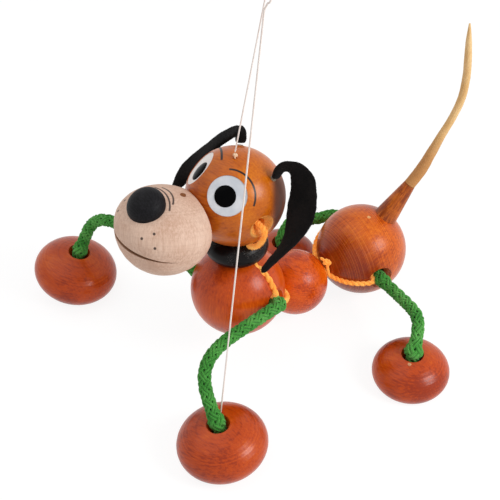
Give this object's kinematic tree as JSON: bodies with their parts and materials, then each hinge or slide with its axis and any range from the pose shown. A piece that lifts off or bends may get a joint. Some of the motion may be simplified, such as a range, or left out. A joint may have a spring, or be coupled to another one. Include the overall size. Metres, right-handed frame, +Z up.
{
  "type": "dog marionette",
  "caption": "String-puppet dog of drilled wooden balls joined by cords, with braided rope legs, domed feet, felt ears and a whip tail.",
  "frame": {"origin": "on the floor under the middle of the standing dog's box, threads left out", "axes": "+Z up, -Y the way the dog faces, +X towards the dog's left"},
  "size_m": [0.2033, 0.2129, 0.2722],
  "materials": {
    "stained_wood": "satin orange stain on turned wood",
    "terracotta_wood": "satin red-brown stain on turned wood",
    "pale_wood": "clear varnish on pale wood",
    "plug_wood": "raw wood plug",
    "black_wood": "black stain",
    "black_collar": "black gloss",
    "eye_white": "white gloss paint",
    "black_gloss": "black gloss",
    "green_rope": "braided",
    "orange_cord": "twisted, fuzzy",
    "pale_thread": "twisted thread",
    "black_felt": "felt",
    "tail_leather": "tan hide"
  },
  "bodies": {
    "chest": {"chest_ball": "stained_wood", "chest_cord": "orange_cord"},
    "collar": {"collar": "black_collar", "neck_cord": "orange_cord"},
    "head": {"head_ball": "stained_wood", "eye_left": "eye_white", "eye_right": "eye_white", "pupil_left": "black_gloss", "pupil_right": "black_gloss", "muzzle": "pale_wood", "muzzle_pin": "plug_wood", "nose": "black_wood", "ear_peg_left": "plug_wood", "ear_peg_right": "plug_wood", "head_knot": "pale_thread", "thread_head": "pale_thread"},
    "ear_left": {"ear_left": "black_felt"},
    "ear_right": {"ear_right": "black_felt"},
    "back": {"mid_ball": "stained_wood", "back_cord_front": "orange_cord", "back_link": "orange_cord", "back_cord_rear": "orange_cord", "back_knot": "orange_cord"},
    "rear": {"rear_ball": "stained_wood", "tail_cone": "stained_wood", "tail_whip": "tail_leather", "rear_plug": "plug_wood"},
    "leg_front_left": {"rope_front_left": "green_rope"},
    "leg_front_right": {"rope_front_right": "green_rope"},
    "leg_hind_left": {"rope_hind_left": "green_rope"},
    "leg_hind_right": {"rope_hind_right": "green_rope"},
    "foot_front_left": {"foot_front_left": "terracotta_wood", "thread_foot": "pale_thread"},
    "foot_front_right": {"foot_front_right": "terracotta_wood"},
    "foot_hind_left": {"foot_hind_left": "terracotta_wood", "foot_plug": "plug_wood"},
    "foot_hind_right": {"foot_hind_right": "terracotta_wood"}
  },
  "joints": [
    {"name": "neck_turn", "type": "hinge", "parent": "chest", "child": "collar", "pos_m": [0.008, -0.0293, 0.0415], "axis": [-0.0767, 0.0314, 0.9966], "range_deg": [-40, 40]},
    {"name": "head_nod", "type": "hinge", "parent": "collar", "child": "head", "pos_m": [0.00337, -0.0274, 0.10169], "axis": [0.9971, 0, 0.0767], "range_deg": [-25, 12]},
    {"name": "ear_left_swing", "type": "hinge", "parent": "head", "child": "ear_left", "pos_m": [0.01937, -0.014, 0.11949], "axis": [0.1992, -0.8663, 0.4581], "range_deg": [-12, 30]},
    {"name": "ear_right_swing", "type": "hinge", "parent": "head", "child": "ear_right", "pos_m": [-0.01263, -0.014, 0.11949], "axis": [0.1992, 0.8663, -0.4581], "range_deg": [-12, 30]},
    {"name": "back_front_bend", "type": "hinge", "parent": "chest", "child": "back", "pos_m": [0.008, -0.0293, 0.0415], "axis": [0.9203, 0.3718, 0.1219], "range_deg": [-15, 20]},
    {"name": "back_rear_bend", "type": "hinge", "parent": "back", "child": "rear", "pos_m": [0.00826, 0.05242, 0.0278], "axis": [0.9827, -0.1821, -0.0349], "range_deg": [-30, 25]},
    {"name": "leg_front_left_swing", "type": "hinge", "parent": "chest", "child": "leg_front_left", "pos_m": [0.008, -0.0293, 0.0415], "axis": [0.9203, 0.3718, 0.1219], "range_deg": [-12, 40]},
    {"name": "leg_front_right_swing", "type": "hinge", "parent": "chest", "child": "leg_front_right", "pos_m": [0.008, -0.0293, 0.0415], "axis": [0.9203, 0.3718, 0.1219], "range_deg": [-30, 40]},
    {"name": "leg_hind_left_swing", "type": "hinge", "parent": "back", "child": "leg_hind_left", "pos_m": [0.00826, 0.05242, 0.0278], "axis": [0.9827, -0.1821, -0.0349], "range_deg": [-60, 60]},
    {"name": "leg_hind_right_swing", "type": "hinge", "parent": "back", "child": "leg_hind_right", "pos_m": [0.00826, 0.05242, 0.0278], "axis": [0.9827, -0.1821, -0.0349], "range_deg": [0, 45]},
    {"name": "ankle_front_left", "type": "hinge", "parent": "leg_front_left", "child": "foot_front_left", "pos_m": [0.0645, -0.0799, 0.0286], "axis": [0, 1, 0], "range_deg": [-5, 25], "deforming": ["rope_front_left"]},
    {"name": "ankle_front_right", "type": "hinge", "parent": "leg_front_right", "child": "foot_front_right", "pos_m": [-0.0783, -0.0771, 0.0305], "axis": [1, 0, 0], "range_deg": [-25, 25], "deforming": ["rope_front_right"]},
    {"name": "ankle_hind_left", "type": "hinge", "parent": "leg_hind_left", "child": "foot_hind_left", "pos_m": [0.07946, 0.03542, 0.025], "axis": [0.6, 0.8, 0], "range_deg": [-25, 25], "deforming": ["rope_hind_left"]},
    {"name": "ankle_hind_right", "type": "hinge", "parent": "leg_hind_right", "child": "foot_hind_right", "pos_m": [-0.02864, 0.02382, 0.0238], "axis": [0.9292, -0.3697, 0], "range_deg": [-10, 15], "deforming": ["rope_hind_right"]}
  ]
}
